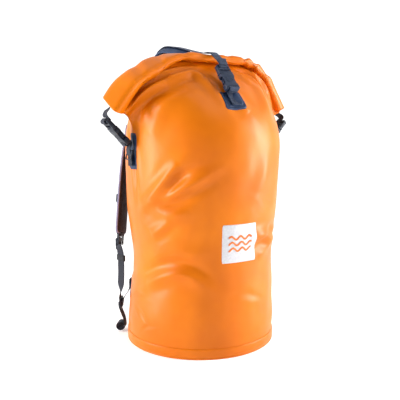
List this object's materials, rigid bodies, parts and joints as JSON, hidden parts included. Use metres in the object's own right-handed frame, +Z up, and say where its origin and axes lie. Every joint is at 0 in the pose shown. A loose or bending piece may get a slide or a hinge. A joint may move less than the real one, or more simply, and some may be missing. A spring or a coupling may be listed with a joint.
{
  "type": "roll-top dry bag backpack",
  "caption": "Tall cylindrical roll-top dry bag with a carry handle, front and side release buckles, and a padded shoulder harness.",
  "frame": {"origin": "centre of the round base, on the ground", "axes": "+Z up along the bag, -Y towards the front with the badge, +X to the right seen from the front"},
  "size_m": [0.4842, 0.378, 0.6869],
  "materials": {
    "tarpaulin": "semi-gloss coated fabric",
    "stiffener": "smooth",
    "badge": "satin silver-grey print",
    "patch": "satin moulded slate",
    "grip": "ribbed satin",
    "top_webbing": "woven slate webbing",
    "pad_mesh": "spacer mesh",
    "slate_plastic": "satin moulded",
    "webbing": "woven black webbing",
    "black_plastic": "satin moulded"
  },
  "bodies": {
    "bag": {"body_shell": "tarpaulin", "bottom_panel": "tarpaulin", "base_rim": "tarpaulin", "roll_closure": "tarpaulin", "lip_stiffener": "stiffener", "front_badge": "badge", "front_female": "slate_plastic", "front_patch": "patch", "front_patch_webbing": "top_webbing", "front_strap_run": "top_webbing", "top_strap": "top_webbing", "handle_grip": "grip", "back_patch": "patch", "left_female": "black_plastic", "left_patch": "patch", "left_webbing": "webbing", "left_roll_tab": "webbing", "left_shoulder_patch": "patch", "left_lower_webbing": "webbing", "left_keeper": "webbing", "left_adjuster": "black_plastic", "left_lower_patch": "patch", "left_anchor_webbing": "webbing", "left_webbing_tail": "webbing", "right_female": "black_plastic", "right_patch": "patch", "right_webbing": "webbing", "right_roll_tab": "webbing", "right_shoulder_patch": "patch", "right_lower_webbing": "webbing", "right_keeper": "webbing", "right_adjuster": "black_plastic", "right_lower_patch": "patch", "right_anchor_webbing": "webbing", "right_webbing_tail": "webbing"},
    "front_male": {"front_male": "slate_plastic"},
    "front_prong_a": {"front_prong_a": "slate_plastic"},
    "front_prong_b": {"front_prong_b": "slate_plastic"},
    "left_male": {"left_male": "black_plastic"},
    "left_prong_a": {"left_prong_a": "black_plastic"},
    "left_prong_b": {"left_prong_b": "black_plastic"},
    "left_ring": {"left_ring": "black_plastic"},
    "left_shoulder_strap": {"left_shoulder_pad": "pad_mesh", "left_pad_webbing": "webbing"},
    "left_ladder_lock": {"left_ladder_lock": "black_plastic"},
    "left_sternum_slider": {"left_sternum_slider": "black_plastic"},
    "left_sternum_strap": {"left_sternum_strap": "webbing", "left_sternum_buckle": "black_plastic"},
    "right_male": {"right_male": "black_plastic"},
    "right_prong_a": {"right_prong_a": "black_plastic"},
    "right_prong_b": {"right_prong_b": "black_plastic"},
    "right_ring": {"right_ring": "black_plastic"},
    "right_shoulder_strap": {"right_shoulder_pad": "pad_mesh", "right_pad_webbing": "webbing"},
    "right_ladder_lock": {"right_ladder_lock": "black_plastic"},
    "right_sternum_slider": {"right_sternum_slider": "black_plastic"},
    "right_sternum_strap": {"right_sternum_strap": "webbing", "right_sternum_buckle": "black_plastic"}
  },
  "joints": [
    {"name": "front_buckle_slide", "type": "slide", "parent": "bag", "child": "front_male", "axis": [0, 0.6428, 0.766], "range_m": [0, 0.018], "deforming": ["front_strap_run"]},
    {"name": "front_prong_a_flex", "type": "hinge", "parent": "front_male", "child": "front_prong_a", "pos_m": [0.0105, -0.10701, 0.59716], "axis": [0, 0.766, -0.6428], "range_deg": [0, 19]},
    {"name": "front_prong_b_flex", "type": "hinge", "parent": "front_male", "child": "front_prong_b", "pos_m": [-0.0105, -0.10701, 0.59716], "axis": [0, -0.766, 0.6428], "range_deg": [0, 19]},
    {"name": "left_buckle_slide", "type": "slide", "parent": "bag", "child": "left_male", "axis": [-0.7071, 0, 0.7071], "range_m": [0, 0.018], "deforming": ["left_roll_tab"]},
    {"name": "left_prong_a_flex", "type": "hinge", "parent": "left_male", "child": "left_prong_a", "pos_m": [-0.21491, -0.0165, 0.48391], "axis": [0.7071, 0, 0.7071], "range_deg": [0, 19]},
    {"name": "left_prong_b_flex", "type": "hinge", "parent": "left_male", "child": "left_prong_b", "pos_m": [-0.21491, 0.0045, 0.48391], "axis": [-0.7071, 0, -0.7071], "range_deg": [0, 19]},
    {"name": "left_ring_swing", "type": "hinge", "parent": "bag", "child": "left_ring", "pos_m": [-0.1791, -0.006, 0.44], "axis": [0, 1, 0], "range_deg": [0, 95]},
    {"name": "left_shoulder_strap_swing", "type": "hinge", "parent": "bag", "child": "left_shoulder_strap", "pos_m": [-0.1011, 0.15822, 0.49008], "axis": [0.6493, 0.7211, -0.2419], "range_deg": [0, 12], "deforming": ["left_lower_webbing"]},
    {"name": "left_ladder_lock_tilt", "type": "hinge", "parent": "left_shoulder_strap", "child": "left_ladder_lock", "pos_m": [-0.15036, 0.11696, 0.23489], "axis": [0.6493, 0.7211, -0.2419], "range_deg": [0, 20]},
    {"name": "left_sternum_slider_slide", "type": "slide", "parent": "left_shoulder_strap", "child": "left_sternum_slider", "axis": [0.1619, 0.1798, 0.9703], "range_m": [-0.05, 0.05]},
    {"name": "left_sternum_strap_swing", "type": "hinge", "parent": "left_sternum_slider", "child": "left_sternum_strap", "pos_m": [-0.14647, 0.14145, 0.316], "axis": [0.6691, 0.7431, 0], "range_deg": [0, 110]},
    {"name": "right_buckle_slide", "type": "slide", "parent": "bag", "child": "right_male", "axis": [0.7071, 0, 0.7071], "range_m": [0, 0.018], "deforming": ["right_roll_tab"]},
    {"name": "right_prong_a_flex", "type": "hinge", "parent": "right_male", "child": "right_prong_a", "pos_m": [0.21491, 0.0045, 0.48391], "axis": [-0.7071, 0, 0.7071], "range_deg": [0, 19]},
    {"name": "right_prong_b_flex", "type": "hinge", "parent": "right_male", "child": "right_prong_b", "pos_m": [0.21491, -0.0165, 0.48391], "axis": [0.7071, 0, -0.7071], "range_deg": [0, 19]},
    {"name": "right_ring_swing", "type": "hinge", "parent": "bag", "child": "right_ring", "pos_m": [0.1791, -0.006, 0.44], "axis": [0, -1, 0], "range_deg": [0, 95]},
    {"name": "right_shoulder_strap_swing", "type": "hinge", "parent": "bag", "child": "right_shoulder_strap", "pos_m": [0.1011, 0.15822, 0.49008], "axis": [0.6493, -0.7211, 0.2419], "range_deg": [0, 12], "deforming": ["right_lower_webbing"]},
    {"name": "right_ladder_lock_tilt", "type": "hinge", "parent": "right_shoulder_strap", "child": "right_ladder_lock", "pos_m": [0.15036, 0.11696, 0.23489], "axis": [0.6493, -0.7211, 0.2419], "range_deg": [0, 20]},
    {"name": "right_sternum_slider_slide", "type": "slide", "parent": "right_shoulder_strap", "child": "right_sternum_slider", "axis": [-0.1619, 0.1798, 0.9703], "range_m": [-0.05, 0.05]},
    {"name": "right_sternum_strap_swing", "type": "hinge", "parent": "right_sternum_slider", "child": "right_sternum_strap", "pos_m": [0.14647, 0.14145, 0.316], "axis": [0.6691, -0.7431, 0], "range_deg": [0, 110]}
  ],
  "couplings": [
    {"joint": "front_prong_a_flex", "follows": "front_buckle_slide", "rad_per_m": 18},
    {"joint": "front_prong_b_flex", "follows": "front_buckle_slide", "rad_per_m": 18},
    {"joint": "left_prong_a_flex", "follows": "left_buckle_slide", "rad_per_m": 18},
    {"joint": "left_prong_b_flex", "follows": "left_buckle_slide", "rad_per_m": 18},
    {"joint": "right_prong_a_flex", "follows": "right_buckle_slide", "rad_per_m": 18},
    {"joint": "right_prong_b_flex", "follows": "right_buckle_slide", "rad_per_m": 18}
  ]
}
